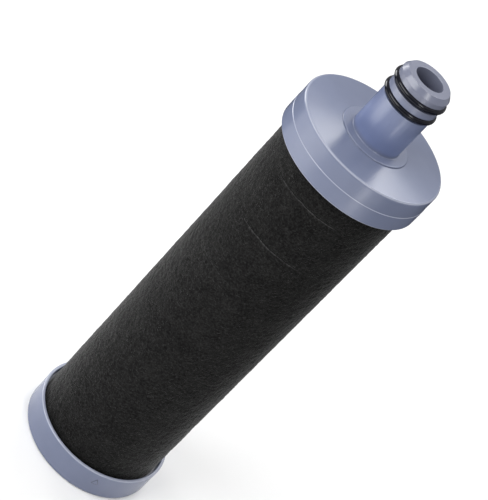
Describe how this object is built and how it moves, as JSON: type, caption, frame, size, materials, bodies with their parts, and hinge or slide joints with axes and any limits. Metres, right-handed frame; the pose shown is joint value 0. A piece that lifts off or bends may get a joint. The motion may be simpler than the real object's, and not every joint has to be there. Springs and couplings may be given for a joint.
{
  "type": "radial-flow carbon block water filter cartridge",
  "caption": "Cylindrical carbon block filter element with bonded plastic end caps, closed at one end, with an O-ring sealed outlet spigot at the other.",
  "frame": {"origin": "centre of the flat underside of the bottom end cap", "axes": "+Z along the cartridge axis, from the closed bottom cap out through the outlet spigot; the moulded index pip on the bottom cap faces toward +X and -Y"},
  "size_m": [0.0635, 0.0634, 0.2314],
  "materials": {
    "cap_plastic": "satin blue-grey moulded polypropylene",
    "o_ring_rubber": "smooth lubricated nitrile",
    "activated_carbon": "grainy extruded activated carbon, porous and matte",
    "nonwoven_wrap": "soft white nonwoven",
    "core_plastic": "natural white polypropylene",
    "hot_melt": "dark blue-grey hot-melt adhesive, slightly uneven"
  },
  "bodies": {
    "root": {"top_end_cap": "cap_plastic", "bottom_end_cap": "cap_plastic", "upper_o_ring": "o_ring_rubber", "lower_o_ring": "o_ring_rubber", "carbon_block": "activated_carbon", "inner_wrap": "nonwoven_wrap", "core_tube": "core_plastic", "top_glue_bed": "hot_melt", "bottom_glue_bed": "hot_melt"}
  },
  "joints": []
}
